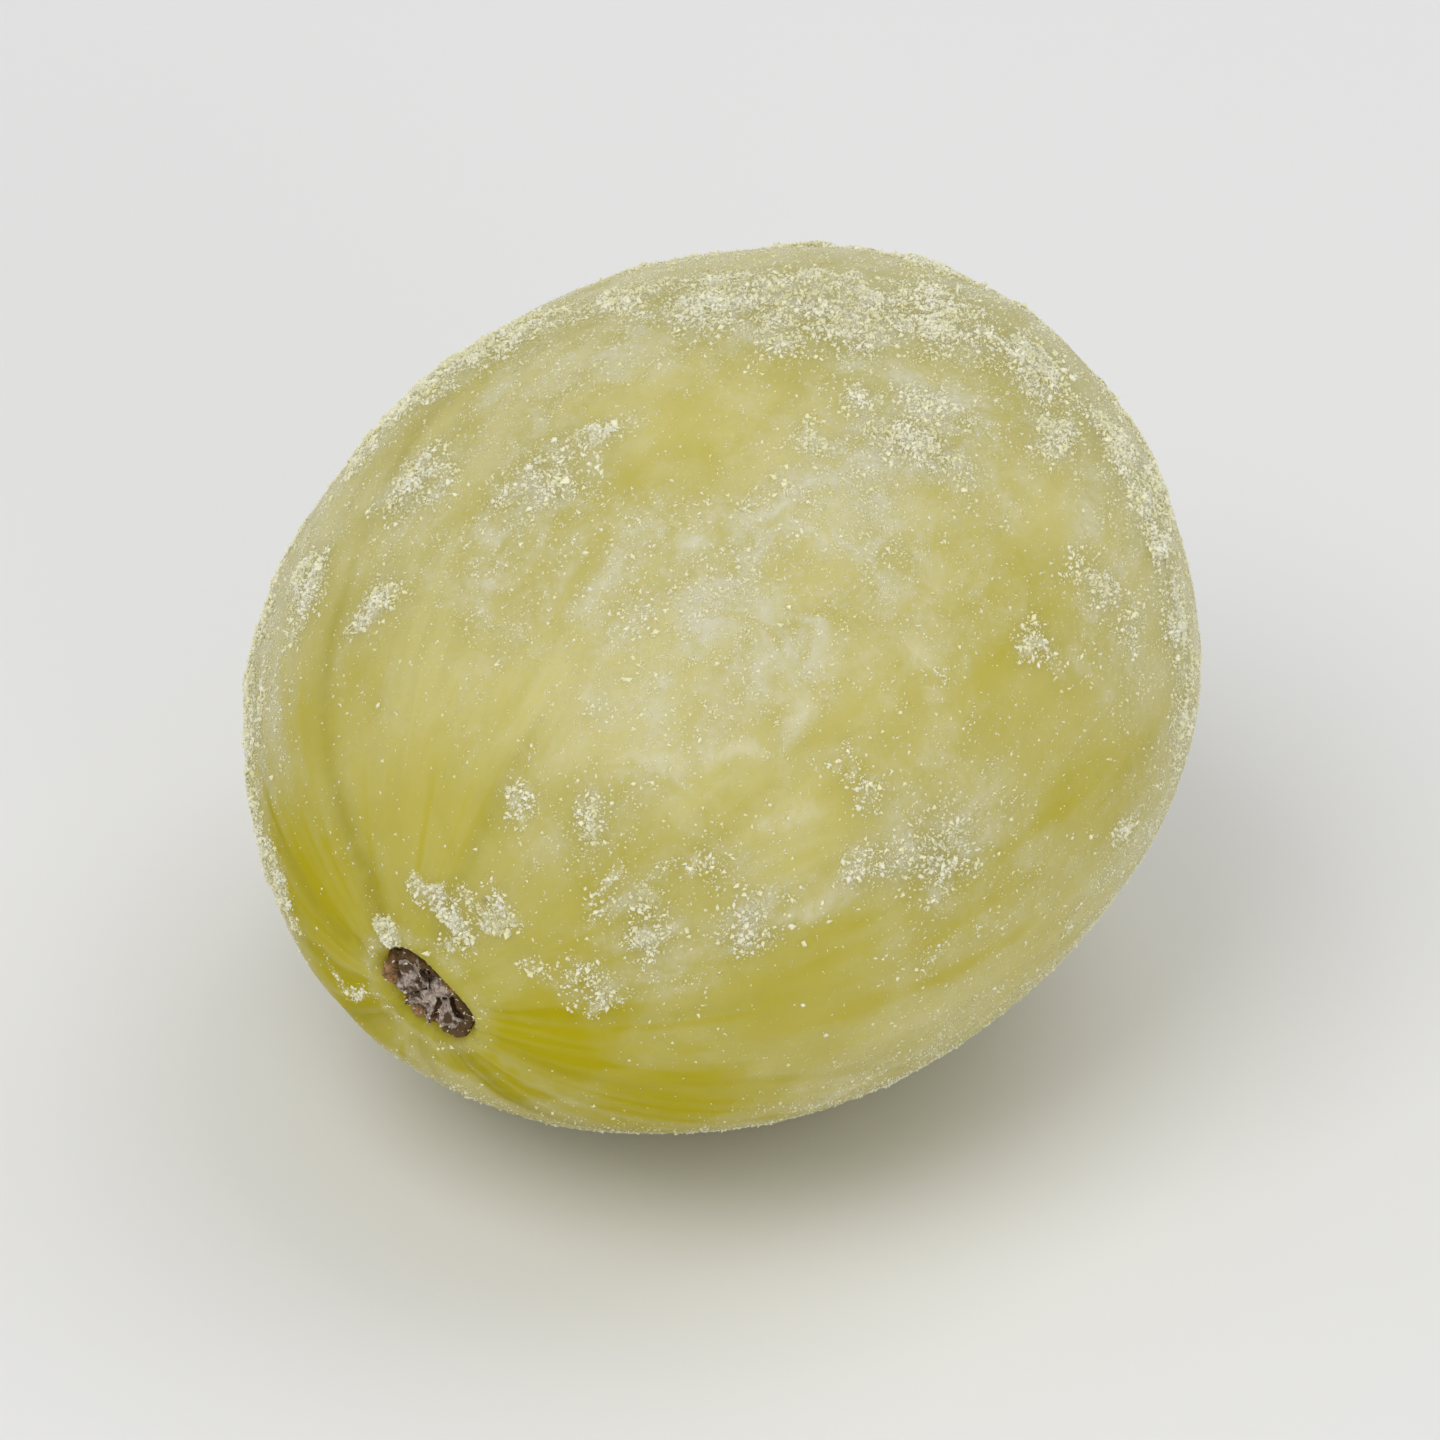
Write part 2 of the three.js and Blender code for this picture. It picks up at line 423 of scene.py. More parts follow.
def skin_points(way):
    """The points of the skin, in the fruit's own frame, in unit directions from its middle."""
    around = np.arctan2(way[:, 0], way[:, 2])
    across = np.hypot(way[:, 0], way[:, 2])
    lift = RIB_HEIGHT * across**2 * np.cos(RIBS * around)
    for from_calyx, about, height in SWELLINGS:
        middle = direction(math.radians(from_calyx), math.radians(about))
        away = np.degrees(np.arccos(np.clip(way @ middle, -1, 1))) / SWELLING_SPREAD
        lift = lift + height * np.exp(-(away**2))
    lifted = 1 + lift / (FRUIT_WIDTH / 2)
    girth = lifted * (1 - TAPER * way[:, 1])
    radii = np.stack(
        [FRUIT_WIDTH / 2 * girth, FRUIT_LENGTH / 2 * lifted, FRUIT_DEPTH / 2 * girth], axis=-1
    )
    points = way * radii
    distance = np.hypot(points[:, 0], points[:, 2])
    oval = distance / narrowing(around)
    end = np.sign(way[:, 1])
    calyx_end = lip(oval, *CALYX_LIP) - well(oval, *CALYX_WELL)
    stalk_end = lip(distance, *STALK_LIP) - well(distance, *STALK_WELL)
    points[:, 1] += np.where(end > 0, calyx_end, -stalk_end)
    pucker = np.cos(17 * around + 2 * np.cos(3 * around)) * smoothstep(distance, 1.1, 1.6)
    points[:, 1] += 0.03 * pucker * np.exp(-((distance / 2.6) ** 4)) * end
    return points


def shell_faces(rows, columns):
    """Faces of a closed shell whose points are a pole, rings of points and another pole."""
    this = np.arange(columns)
    beside = (this + 1) % columns
    faces = [(0, 1 + a, 1 + b) for a, b in zip(this, beside)]
    for row in range(rows - 1):
        near = 1 + row * columns
        far = near + columns
        faces += [(near + a, far + a, far + b, near + b) for a, b in zip(this, beside)]
    near = 1 + (rows - 1) * columns
    last = rows * columns + 1
    faces += [(near + a, last, near + b) for a, b in zip(this, beside)]
    return faces


def skin_grid():
    """Unit directions of the skin mesh's vertices, and its faces."""
    steps = np.linspace(0, math.pi, PARALLELS + 1)[1:-1]
    from_calyx = steps - END_GATHER / 2 * np.sin(2 * steps)
    around = np.linspace(0, 2 * math.pi, MERIDIANS, endpoint=False)
    rings = direction(*np.meshgrid(from_calyx, around, indexing="ij")).reshape(-1, 3)
    return np.vstack([[0, 1, 0], rings, [0, -1, 0]]), shell_faces(len(steps), MERIDIANS)


# From the fruit's own frame to the row's: turned, and set down so that its box is the CAD's.
skin_ways, skin_faces = skin_grid()
bare_skin = skin_points(skin_ways) @ LYING.T
cad_low, cad_high = (np.array(corner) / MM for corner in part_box("berry"))
FRUIT_MIDDLE = (cad_low + cad_high - bare_skin.min(axis=0) - bare_skin.max(axis=0)) / 2
FRUIT_MIDDLE[2] = cad_high[2] - bare_skin[:, 2].max()


def to_row(points):
    return points @ LYING.T + FRUIT_MIDDLE


def on_skin(from_calyx, around):
    """A point of the skin in the row's frame, from its angles."""
    way = direction(np.radians(from_calyx), np.radians(around))
    return to_row(skin_points(np.atleast_2d(way)))


def outward_at(points):
    """Outward unit normals of the smooth fruit at points in the row's frame."""
    own = (points - FRUIT_MIDDLE) @ LYING
    slope = own / np.array([FRUIT_WIDTH, FRUIT_LENGTH, FRUIT_DEPTH]) ** 2
    return unit(slope) @ LYING.T


def seen_spot(points, right, up):
    """The point of the skin that the camera sees at a place right and up of the fruit's middle."""
    offset = points - FRUIT_MIDDLE
    away = np.hypot(offset @ RIGHT - right, offset @ UP - up)
    return points[np.argmin(away - NEARNESS * (offset @ TOWARDS))]


# What marks the skin: veins, haze and frost


def strokes(points, lines):
    """How strongly lines mark each point. A line's points have a place, a width and a strength."""
    places = np.vstack([place for place, width, strength in lines])
    widths = np.concatenate([width for place, width, strength in lines])
    strengths = np.concatenate([strength for place, width, strength in lines])
    tree = kdtree.KDTree(len(places))
    for index, place in enumerate(places):
        tree.insert(place, index)
    tree.balance()
    found = [tree.find(point) for point in points]
    index = np.array([nearest[1] for nearest in found])
    gap = np.array([nearest[2] for nearest in found]) / widths[index]
    return strengths[index] * np.exp(-(gap**2))


def vein_lines(rng):
    """The main veins from calyx to stalk, and the side veins that leave them."""
    mains, sides = [], []
    for around, strength in VEINS:
        lane = rng.uniform(0, 100)
        from_calyx = np.arange(5, 176, 0.5)
        bends = np.array([noise.noise(Vector((f / 30, lane, 0))) for f in from_calyx])
        fade = np.array([noise.noise(Vector((f / 22, lane, 7))) for f in from_calyx])
        calyx_end = np.exp(-((from_calyx / 38) ** 2))
        stalk_end = np.exp(-(((180 - from_calyx) / 42) ** 2))
        lanes = around + 9 * bends
        power = strength * np.clip(calyx_end + stalk_end + 0.35 + 0.7 * fade, 0.05, 1)
        width = 0.2 + 0.12 * fade + 0.3 * stalk_end + 0.22 * strength * calyx_end
        mains.append((on_skin(from_calyx, lanes), width, power))
        for start in rng.uniform(15, 150, SIDE_VEINS):
            side = rng.choice([-1, 1])
            run = np.arange(0, rng.uniform(8, 22), 0.5)
            first = np.searchsorted(from_calyx, start)
            reach = side * rng.uniform(0.7, 1.5)
            wiggle = np.array([noise.noise(Vector((r / 6, start, lane))) for r in run])
            place = on_skin(start + run, lanes[first] + reach * run + 3 * wiggle)
            fall = 1 - run / (run[-1] + 0.5)
            sides.append((place, 0.09 + 0.06 * fall, 0.55 * power[first] * (0.4 + 0.6 * fall)))
    return mains, sides


def crease_lines(points):
    lines = []
    for corners in CREASES:
        corners = np.array(corners)
        share = np.linspace(0, len(corners) - 1, 40 * len(corners))
        curve = np.stack([np.interp(share, range(len(corners)), column) for column in corners.T], -1)
        smooth = np.stack([np.convolve(c, np.ones(25) / 25, "same") for c in curve.T], -1)[12:-12]
        place = np.array([seen_spot(points, right, up) for right, up in smooth[::3]])
        ends = np.sin(np.linspace(0.15, math.pi - 0.15, len(place)))
        lines.append((place, 0.12 + 0.1 * ends, ends))
    return lines


def strongest(moved, spots):
    """The strongest of some round patches at each point. A patch has a middle, radius and strength."""
    cover = np.zeros(len(moved))
    for middle, radius, strength in spots:
        gap = np.linalg.norm(moved - middle, axis=-1) / radius
        cover = np.maximum(cover, strength * np.exp(-(gap**3)))
    return cover


def patches(points, moved, listed):
    spots = [(seen_spot(points, right, up), size, power) for right, up, size, power in listed]
    return strongest(moved, spots)


def far_patches(points, moved, hidden, rng):
    """Frost patches on the side that the camera doesn't see, in loose groups, most of them high up."""
    own = (points - FRUIT_MIDDLE) @ LYING
    room = hidden * np.hypot(own[:, 0], own[:, 2])
    groups = smoothstep(fractal(points, 5.0, 3, 4.0) + 0.5 * outward_at(points)[:, 2], -0.3, 0.8)
    chosen = rng.choice(len(points), FAR_PATCHES, p=room * groups / np.sum(room * groups))
    small, large = FAR_RADII
    sizes = small + (large - small) * rng.random(FAR_PATCHES) ** 1.8
    powers = rng.uniform(*FAR_STRENGTHS, FAR_PATCHES)
    return strongest(moved, zip(points[chosen], sizes, powers))


def skin_marks(points, rng):
    """What each point of the skin shows, each from 0 to about 1."""
    outward = outward_at(points)
    seen = smoothstep(outward @ TOWARDS, 0.0, 0.4)
    own = (points - FRUIT_MIDDLE) @ LYING
    from_core = np.hypot(own[:, 0], own[:, 2])
    calyx_end = np.where(own[:, 1] > 0, np.exp(-((from_core / 3.0) ** 2)), 0)
    stalk_end = np.where(own[:, 1] < 0, np.exp(-((from_core / 3.4) ** 2)), 0)

    moved = wandered(wandered(points, 1.3, 0.7), 0.5, 0.4)
    ragged = fractal(points, 0.8, 4, 9.0)
    lace = smoothstep(1 - 2.6 * np.abs(fractal(moved, 0.6, 3, 52.0)), 0.05, 0.8)
    frost = patches(points, moved, FROST_PATCHES)
    halo = np.maximum(frost, far_patches(points, moved, 1 - seen, rng))
    frost = np.clip(halo * (1 + 0.9 * ragged) * (0.4 + 0.75 * lace), 0, 1)

    # Haze lies in streaks that run from end to end, like the veins.
    spin = own[:, [0, 2]] / from_core.clip(0.01)[:, None]
    along = np.arctan2(from_core, own[:, 1])
    lanes = np.column_stack([spin * 4.5, along * 2.6])
    streaks = fractal(wandered(lanes, 1.2, 0.5), 1.0, 4, 40.0)
    fibre = fractal(wandered(lanes * (3.2, 3.2, 1.0), 3.0, 0.6), 1.0, 4, 60.0)
    cloud = 0.5 + 0.6 * fractal(points, 4.5, 4, 21.0)
    haze_and_highlight = 0.3 * seen + (0.12 + 0.6 * cloud) * (1 - 0.75 * seen)
    # The middle haze patches also paint the soft highlight there.
    haze_and_highlight = np.maximum(haze_and_highlight, patches(points, moved, HAZE_AND_HIGHLIGHT_PATCHES))
    haze_and_highlight = haze_and_highlight * (1 - patches(points, moved, CLEAR_PATCHES)) * (1 - 0.6 * calyx_end)
    haze_and_highlight = haze_and_highlight * (1 + 0.55 * streaks + 0.45 * fibre + 0.35 * ragged)

    mains, sides = vein_lines(rng)
    drawn = wandered(points, 1.3, 0.16)
    vein = np.maximum(strokes(drawn, mains), strokes(drawn, sides))
    haze_and_highlight = haze_and_highlight * (1 - 0.6 * vein)
    crease = strokes(wandered(points, 0.9, 0.2), crease_lines(points))
    # Skin that faces down gets more olive: this is painted shade on the underside.
    olive_and_shade = 0.3 * fractal(points, 6.0, 3, 31.0) - 0.25 * streaks + 0.2 * (1 - outward[:, 2]) / 2
    olive_and_shade = np.maximum(olive_and_shade, patches(points, moved, OLIVE_AND_SHADE_PATCHES) - 0.3 * fibre)
    olive_and_shade = np.clip(np.maximum(olive_and_shade, 0.75 * calyx_end), 0, 1)
    collar = np.where(own[:, 1] > 0, np.exp(-(((from_core - 1.45) / 0.2) ** 2)), 0)
    haze_and_highlight = haze_and_highlight * (1 - olive_and_shade) + 0.35 * (collar + halo) * (1 + ragged)
    haze_and_highlight = np.clip(haze_and_highlight, 0, 1)
    return {
        "frost": frost,
        "lace": lace,
        "fibre": 0.5 + 0.5 * fibre,
        "haze_and_highlight": haze_and_highlight,
        "vein": vein,
        "crease": crease,
        "olive_and_shade": olive_and_shade,
        "green": stalk_end,
    }


# Meshes


def mesh_object(name, points, faces, smooth=True):
    """A new object from points in millimetres in the row's frame."""
    mesh = bpy.data.meshes.new(name)
    mesh.from_pydata((np.asarray(points) * MM).tolist(), [], faces)
    mesh.update()
    if smooth:
        mesh.shade_smooth()
    else:
        mesh.shade_flat()
    made = bpy.data.objects.new(name, mesh)
    bpy.context.scene.collection.objects.link(made)
    return made


def write_attribute(piece, name, values):
    kind, field = ("FLOAT", "value") if values.ndim == 1 else ("FLOAT_VECTOR", "vector")
    made = piece.data.attributes.new(name, kind, "POINT")
    made.data.foreach_set(field, values.astype(np.float32).ravel())


def make_skin(rng):
    points = to_row(skin_points(skin_ways))
    outward = outward_at(points)
    marks = skin_marks(points, rng)
    lumps = 0.4 + 0.6 * marks["lace"] + 0.4 * fractal(points, 0.4, 3, 2.0)
    crust = marks["frost"] * lumps
    broad, small = fractal(points, 3.0, 3, 6.0), fractal(points, 0.7, 3, 8.0)
    dents = BROAD_DENTS * broad + SMALL_DENTS * small
    ridges = CREASE_HEIGHT * marks["crease"] + FIBRE_HEIGHT * marks["fibre"]
    raised = CRUST_HEIGHT * crust + dents + (ridges - VEIN_DEPTH * marks["vein"])
    points = points + outward * raised[:, None]
    points[:, 2] = np.maximum(points[:, 2], 0)
    skin = mesh_object("berry_skin", points, skin_faces)
    for name, values in marks.items():
        write_attribute(skin, name, values)
    return skin, points, marks


def blank(kind):
    """The corners and faces that frost crystals of a kind start from."""
    if kind == "octahedron":
        corners = [(1, 0, 0), (0, 1, 0), (-1, 0, 0), (0, -1, 0), (0, 0, 1), (0, 0, -1)]
        faces = [(a, (a + 1) % 4, 4) for a in range(4)] + [((a + 1) % 4, a, 5) for a in range(4)]
    else:
        corners = [(1, 1, 1), (1, -1, -1), (-1, 1, -1), (-1, -1, 1)]
        faces = [(0, 1, 2), (0, 3, 1), (0, 2, 3), (1, 3, 2)]
    return unit(np.array(corners, float)), np.array(faces)


def random_turns(rng, count):
    """Random rotation matrices from random unit quaternions."""
    w, x, y, z = unit(rng.normal(size=(count, 4))).T
    rows = [
        [1 - 2 * (y * y + z * z), 2 * (x * y - w * z), 2 * (x * z + w * y)],
        [2 * (x * y + w * z), 1 - 2 * (x * x + z * z), 2 * (y * z - w * x)],
        [2 * (x * z - w * y), 2 * (y * z + w * x), 1 - 2 * (x * x + y * y)],
    ]
    return np.moveaxis(np.array(rows), 2, 0)


def spots_on(rng, points, weight, count):
    """Random points of the skin, as many per area as the weight of its vertices says."""
    quads = np.array([face for face in skin_faces if len(face) == 4])
    a, b, c, d = (points[quads[:, k]] for k in range(4))
    area = np.linalg.norm(np.cross(c - a, d - b), axis=-1) / 2
    chance = area * weight[quads].mean(axis=1)
    chosen = rng.choice(len(quads), size=count, p=chance / chance.sum())
    u, v = rng.random((2, count, 1))
    a, b, c, d = a[chosen], b[chosen], c[chosen], d[chosen]
    return (a * (1 - u) + b * u) * (1 - v) + (d * (1 - u) + c * u) * v


def spots_beyond(rng, piece, height, count):
    """Random vertices of a piece at the fruit's end that stand out past a place along the core line."""
    places = np.array([vertex.co for vertex in piece.data.vertices]) / MM
    out = places[np.abs((places - FRUIT_MIDDLE) @ LYING @ ALONG) > height]
    return out[rng.choice(len(out), count)]


def make_crystals(name, rng, spots, sort):
    """A small angular ice crystal of one sort on each spot, joined in one piece."""
    corners, faces = blank(sort.kind)
    count = len(spots)
    outward = outward_at(spots)
    sizes = sort.radius * np.exp(sort.spread * rng.normal(size=count).clip(-2, 1.5))
    stretch = np.exp(0.25 * rng.normal(size=(count, 1, 3)))
    stretch[:, :, 2] *= sort.lengthen
    ragged = corners + 0.18 * rng.normal(size=(count, len(corners), 3))
    shapes = np.einsum("nij,nkj->nki", random_turns(rng, count), ragged * stretch)
    middles = spots + outward * (CRYSTAL_LIFT * sizes)[:, None]
    places = shapes * sizes[:, None, None] + middles[:, None]
    below_floor = np.minimum(places[:, :, 2].min(axis=1), 0)
    places[:, :, 2] -= below_floor[:, None]
    places = places.reshape(-1, 3)
    all_faces = (faces[None] + len(corners) * np.arange(count)[:, None, None]).reshape(-1, 3)
    return mesh_object(name, places, all_faces.tolist(), smooth=False)


# The calyx remnant and the stalk stub, shaped in the fruit's own frame


def make_shells(name, shells):
    """A piece made of closed shells, each given by its rings in the fruit's own frame."""
    points, faces, first = [], [], 0
    for rings in shells:
        ends = rings[0].mean(axis=0), rings[-1].mean(axis=0)
        points.append(np.vstack([ends[0], rings.reshape(-1, 3), ends[1]]))
        faces += [tuple(first + i for i in face) for face in shell_faces(*rings.shape[:2])]
        first += len(points[-1])
    own = np.vstack(points)
    piece = mesh_object(name, to_row(own), faces)
    write_attribute(piece, "own", own)
    return piece


def crumpled(rings, size, reach, offset):
    """Rings with their points pushed about by rough noise."""
    flat = rings.reshape(-1, 3)
    push = np.stack([fractal(flat, size, 4, offset + 13 * axis) for axis in range(3)], axis=-1)
    return rings + reach * push.reshape(rings.shape)


def turned(radii, heights, around):
    """Rings of points turned about the core line, from the top of the section down."""
    radii, heights, around = np.broadcast_arrays(radii, heights, around)
    return np.stack([radii * np.sin(around), heights, radii * np.cos(around)], axis=-1)[::-1]


def strip(columns, middles, across, lift, widths, thickness, curl):
    """Rings of a thin strip: a middle line, a direction across, half widths and upturned edges."""
    round_once = np.linspace(0, 2 * math.pi, columns, endpoint=False)
    side, over = np.cos(round_once), np.sin(round_once)
    height = thickness / 2 * over[None] + curl * widths[:, None] * side[None] ** 2
    return middles[:, None] + across * (widths[:, None] * side)[..., None] + lift * height[..., None]


def profile_rings(profile, rows, columns):
    """Radii and heights along a section, and the angles and unit circle that it is turned round."""
    profile = np.array(profile)
    reach = np.linspace(0, len(profile) - 1, rows)
    radii = np.interp(reach, range(len(profile)), profile[:, 0])[:, None]
    heights = np.interp(reach, range(len(profile)), profile[:, 1])[:, None]
    around = np.linspace(0, 2 * math.pi, columns, endpoint=False)
    circle = np.stack([np.cos(around), np.sin(around), 0 * around], axis=-1)
    return radii, heights, around, circle


def make_calyx_ring():
    """The withered ring left of the flower's cup."""
    radii, heights, around, circle = profile_rings(CUP_PROFILE, 90, 260)
    crest = smoothstep(heights, 10.56, 10.78)
    teeth = 0.5 * fractal(circle, 0.32, 4, 5.0) + 0.35 * np.cos(5 * around + 0.6)
    wave = 0.06 * np.cos(5 * around) + 0.05 * fractal(circle, 0.6, 3, 8.0)
    pleats = 0.05 * np.cos(13 * around + 2 * np.sin(2 * around)) * smoothstep(heights, 10.4, 10.6)
    radii = radii * narrowing(around) * (1 + (wave + pleats) * smoothstep(radii, 0.4, 1))
    rings = turned(radii, heights + 0.15 * teeth * crest, around)
    rings = crumpled(crumpled(rings, 0.3, 0.05, 3.0), 0.09, 0.02, 17.0)
    return make_shells("calyx_ring", [rings])


def make_sepals(rng):
    """The dried sepals folded over the ring, and threads of the flower between them."""
    shells = []
    for base, length, width, drift, rise, curl in SEPALS:
        out = direction(math.pi / 2, math.radians(base))
        across = np.cross(ALONG, out)
        run = np.linspace(0, 1, 40)[:, None]
        arch = rise * np.sin(math.pi * run**0.8) - 0.08 * run
        near = 0.98 * narrowing(math.radians(base))
        middles = out * (near - length * run) + across * drift * run**2 + ALONG * (SEPAL_BASE + arch)
        taper = width * np.sqrt(1 - 0.92 * run[:, 0] ** 1.6)
        sheet = strip(28, middles, across, ALONG, taper, 0.05, curl)
        shells.append(crumpled(crumpled(sheet, 0.4, 0.11, base), 0.12, 0.03, base + 50))
    for _ in range(THREADS):
        spin, lean = rng.uniform(0, 2 * math.pi, 2)
        start = direction(math.pi / 2, spin) * rng.uniform(0.05, 0.7) + THREAD_BASE * ALONG
        way = unit(np.array([math.sin(lean), 0.6, math.cos(lean)]))
        run = np.linspace(0, 1, 16)[:, None]
        middles = start + way * run * rng.uniform(0.2, 0.4)
        across = unit(np.cross(way, (0.3, 1.0, 0.2)))
        widths = 0.035 * np.sqrt(1 - 0.9 * run[:, 0])
        thread = strip(10, middles, across, np.cross(across, way), widths, 0.05, 0.0)
        shells.append(crumpled(thread, 0.2, 0.05, spin * 9))
    return make_shells("calyx_sepals", shells)


def make_stalk():
    """The torn stub of the stalk."""
    radii, heights, around, circle = profile_rings(STALK_PROFILE, 110, 120)
    ridges = 0.08 * np.abs(np.cos(3.5 * (around + 0.5 * heights))) + 0.05 * np.cos(2 * around + 1)
    fibres = 0.02 * np.cos(23 * around + 3 * np.sin(4 * around)) * smoothstep(radii, 0.2, 0.4)
    torn = 0.22 * fractal(circle, 0.3, 4, 2.0) * smoothstep(heights, 0.5, 0.85)
    rings = turned(radii * (0.95 + ridges + fibres), heights + torn, around)
    rings[..., 0] += STALK_LEAN * heights.clip(0) ** 2
    rings = crumpled(crumpled(rings, 0.35, 0.035, 6.0), 0.1, 0.016, 23.0)
    return make_shells("stalk_torn", [rings * (1, -1, -1) - STALK_FOOT * ALONG])


# Materials


def node(tree, kind, inputs=(), **settings):
    """Adds a shader node. Each input is a socket to link from or a plain value."""
    made = tree.nodes.new(kind)
    for name, value in settings.items():
        setattr(made, name, value)
    for name, value in dict(inputs).items():
        if isinstance(value, bpy.types.NodeSocket):
            tree.links.new(value, made.inputs[name])
        else:
            made.inputs[name].default_value = value
    return made


def maths(tree, operation, first, second=0.0):
    return node(tree, "ShaderNodeMath", {0: first, 1: second}, operation=operation).outputs[0]


def product(tree, *values):
    result = values[0]
    for value in values[1:]:
        result = maths(tree, "MULTIPLY", result, value)
    return result


def between(tree, value, low, high, to_low=0.0, to_high=1.0):
    """The value brought smoothly from low..high to another range and kept there."""
    inputs = {"Value": value, "From Min": low, "From Max": high, "To Min": to_low, "To Max": to_high}
    return node(tree, "ShaderNodeMapRange", inputs, interpolation_type="SMOOTHSTEP").outputs[0]


def mixed(tree, share, first, second):
    made = tree.nodes.new("ShaderNodeMix")
    made.data_type = "RGBA"
    for name, value in {"Factor": share, "A": first, "B": second}.items():
        socket = next(s for s in made.inputs if s.name == name and s.enabled)
        if isinstance(value, bpy.types.NodeSocket):
            tree.links.new(value, socket)
        else:
            socket.default_value = value
    return next(s for s in made.outputs if s.enabled)


def noise_of(tree, where, size, detail=3.0, roughness=0.55, distortion=0.0):
    """Noise whose features have about this size in millimetres."""
    inputs = {
        "Vector": where,
        "Scale": 1 / (size * MM),
        "Detail": detail,
        "Roughness": roughness,
        "Distortion": distortion,
    }
    return node(tree, "ShaderNodeTexNoise", inputs).outputs["Fac"]


def attribute(tree, name):
    return node(tree, "ShaderNodeAttribute", attribute_name=name).outputs["Fac"]


def new_material(name, **sockets):
    """A material, its tree and its Principled shader with plain socket values set."""
    made = bpy.data.materials.new(name)
    made.use_nodes = True
    shader = made.node_tree.nodes["Principled BSDF"]
    for socket, value in sockets.items():
        shader.inputs[socket.replace("_", " ")].default_value = value
    return made, made.node_tree, shader


def add_bump(tree, shader, height, strength, depth):
    """Fine relief under this depth in millimetres."""
    inputs = {"Strength": strength, "Distance": depth * MM, "Height": height}
    bump = node(tree, "ShaderNodeBump", inputs)
    tree.links.new(bump.outputs["Normal"], shader.inputs["Normal"])


def skin_material():
    made, tree, shader = new_material(
        "frosted_skin",
        Subsurface_Weight=0.8,
        Subsurface_Radius=(1.0, 0.8, 0.22),
        Subsurface_Scale=0.002,
        IOR=1.4,
        Specular_IOR_Level=0.13,
        Coat_Roughness=0.22,
        Coat_IOR=1.4,
    )
    shader.subsurface_method = "BURLEY"
    where = node(tree, "ShaderNodeTexCoord").outputs["Object"]
    frost, haze_and_highlight, vein, crease, olive_and_shade, green, fibre = (
        attribute(tree, name)
        for name in ("frost", "haze_and_highlight", "vein", "crease", "olive_and_shade", "green", "fibre")
    )

    # The flesh under the skin: pale, cloudy and yellow-green, olive towards the calyx and as painted
    # shade below.
    cloud = noise_of(tree, where, 3.5, 2.0)
    cloud = between(tree, cloud, 0.32, 0.68)
    flesh = mixed(tree, cloud, FLESH_DEEP, FLESH_PALE)
    flesh = mixed(tree, between(tree, fibre, 0.35, 0.7, 0.0, 0.45), flesh, FLESH_FIBRE)
    flesh = mixed(tree, olive_and_shade, flesh, FLESH_OLIVE_AND_SHADE)
    flesh = mixed(tree, green, flesh, FLESH_GREEN)
    thread = noise_of(tree, where, 0.5, 1.0)
    vein_colour = mixed(tree, green, VEIN_OLIVE, VEIN_GREEN)
    vein_share = product(tree, vein, between(tree, thread, 0.2, 0.6, 0.55, 1.0))
    flesh = mixed(tree, vein_share, flesh, vein_colour)

    # Small brown specks.
    cells = node(tree, "ShaderNodeTexVoronoi", {"Vector": where, "Scale": 420.0}).outputs
    tint = node(tree, "ShaderNodeSeparateColor", {"Color": cells["Color"]}).outputs["Red"]
    picked = maths(tree, "GREATER_THAN", tint, 0.9)
    speck = product(tree, picked, between(tree, cells["Distance"], 0.06, 0.025), 0.6)
    flesh = mixed(tree, speck, flesh, SKIN_SPECK)

    # A thin frozen film, cloudy and finely grained, with paler creases; in the middle it is also a
    # painted highlight.
    grain = noise_of(tree, where, 0.16, 2.0, 0.7)
    mottle = noise_of(tree, where, 0.85, 4.0, 0.62, 0.7)
    film_and_highlight = product(
        tree,
        haze_and_highlight,
        between(tree, mottle, 0.34, 0.66, 0.35, 1.25),
        between(tree, grain, 0.25, 0.75, 0.65, 1.15),
    )
    filmed = mixed(tree, product(tree, film_and_highlight, 0.85), flesh, FILM)
    fold = product(tree, crease, between(tree, mottle, 0.35, 0.6, 0.1, 0.5))
    filmed = mixed(tree, fold, filmed, FILM_FOLD)

    # The crust of frost, broken up into grains.
    clumps = noise_of(tree, where, 0.42, 2.0, 0.65)
    broken = maths(tree, "ADD", product(tree, clumps, 1.1), product(tree, grain, 0.7))
    edge = maths(tree, "ADD", frost, maths(tree, "SUBTRACT", broken, 0.9))
    crust = product(tree, between(tree, edge, 0.1, 1.0), between(tree, frost, 0.02, 0.2))
    frosted = mixed(tree, product(tree, crust, 0.85), filmed, FROST_CRUST)
    tree.links.new(frosted, shader.inputs["Base Color"])

    # A glaze of ice shines where neither frost nor film covers it.
    bare = maths(tree, "SUBTRACT", 1.0, maths(tree, "MAXIMUM", crust, olive_and_shade))
    glaze = product(tree, bare, between(tree, mottle, 0.36, 0.6, 1.0, 0.35))
    tree.links.new(glaze, shader.inputs["Coat Weight"])
    tree.links.new(between(tree, glaze, 0.0, 0.8, 0.65, 0.4), shader.inputs["Roughness"])

    grit = product(tree, grain, between(tree, crust, 0.0, 1.0, 0.3, 1.0))
    height = maths(tree, "ADD", grit, product(tree, clumps, 0.7))
    add_bump(tree, shader, height, 0.5, 0.05)
    return made


def ice_material(name, shaded, lit):
    made, tree, shader = new_material(
        name,
        Subsurface_Weight=0.6,
        Subsurface_Radius=(1.0, 1.0, 0.8),
        Subsurface_Scale=0.00006,
        IOR=1.31,
        Specular_IOR_Level=0.35,
    )
    where = node(tree, "ShaderNodeTexCoord").outputs["Object"]
    shade = between(tree, noise_of(tree, where, 0.6, 0.0), 0.35, 0.65)
    tree.links.new(mixed(tree, shade, shaded, lit), shader.inputs["Base Color"])
    rough = between(tree, noise_of(tree, where, 0.25, 0.0), 0.3, 0.7, 0.2, 0.6)
    tree.links.new(rough, shader.inputs["Roughness"])
    return made


